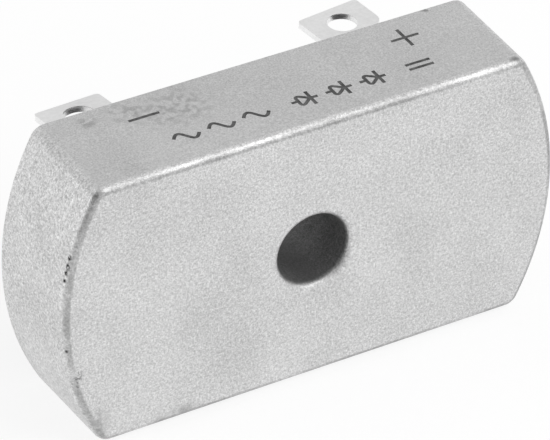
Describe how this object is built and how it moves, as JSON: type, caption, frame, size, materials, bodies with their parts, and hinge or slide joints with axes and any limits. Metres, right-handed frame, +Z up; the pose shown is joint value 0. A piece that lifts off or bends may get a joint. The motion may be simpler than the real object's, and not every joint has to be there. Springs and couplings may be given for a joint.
{
  "type": "bridge rectifier",
  "caption": "Potted bridge rectifier module: drafted die-cast aluminium case with round ends and a central mounting hole, and blade terminals with wire holes at the back.",
  "frame": {"origin": "middle of the bottom of the part's box, as it stands on its long flat side", "axes": "+Z up; X along the length; -Y out of the mounting face, +Y towards the terminals"},
  "size_m": [0.0668, 0.0268, 0.0362],
  "materials": {
    "cast_aluminium": "satin",
    "potting_resin": "matte",
    "tinned_blade": "satin",
    "copper": "satin",
    "silicon": "gloss",
    "solder": "satin",
    "ceramic_sheet": "matte"
  },
  "bodies": {
    "root": {"case": "cast_aluminium", "insulating_sheet": "ceramic_sheet", "positive_bus_plate": "copper", "negative_bus_plate": "copper", "positive_diode_1_lower_solder": "solder", "positive_diode_1_chip": "silicon", "positive_diode_1_upper_solder": "solder", "negative_diode_1_lower_solder": "solder", "negative_diode_1_chip": "silicon", "negative_diode_1_upper_solder": "solder", "ac_link_1": "copper", "ac_terminal_1": "tinned_blade", "positive_diode_2_lower_solder": "solder", "positive_diode_2_chip": "silicon", "positive_diode_2_upper_solder": "solder", "negative_diode_2_lower_solder": "solder", "negative_diode_2_chip": "silicon", "negative_diode_2_upper_solder": "solder", "ac_link_2": "copper", "ac_terminal_2": "tinned_blade", "positive_diode_3_lower_solder": "solder", "positive_diode_3_chip": "silicon", "positive_diode_3_upper_solder": "solder", "negative_diode_3_lower_solder": "solder", "negative_diode_3_chip": "silicon", "negative_diode_3_upper_solder": "solder", "ac_link_3": "copper", "ac_terminal_3": "tinned_blade", "positive_terminal": "tinned_blade", "negative_terminal": "tinned_blade", "potting_compound": "potting_resin"}
  },
  "joints": []
}
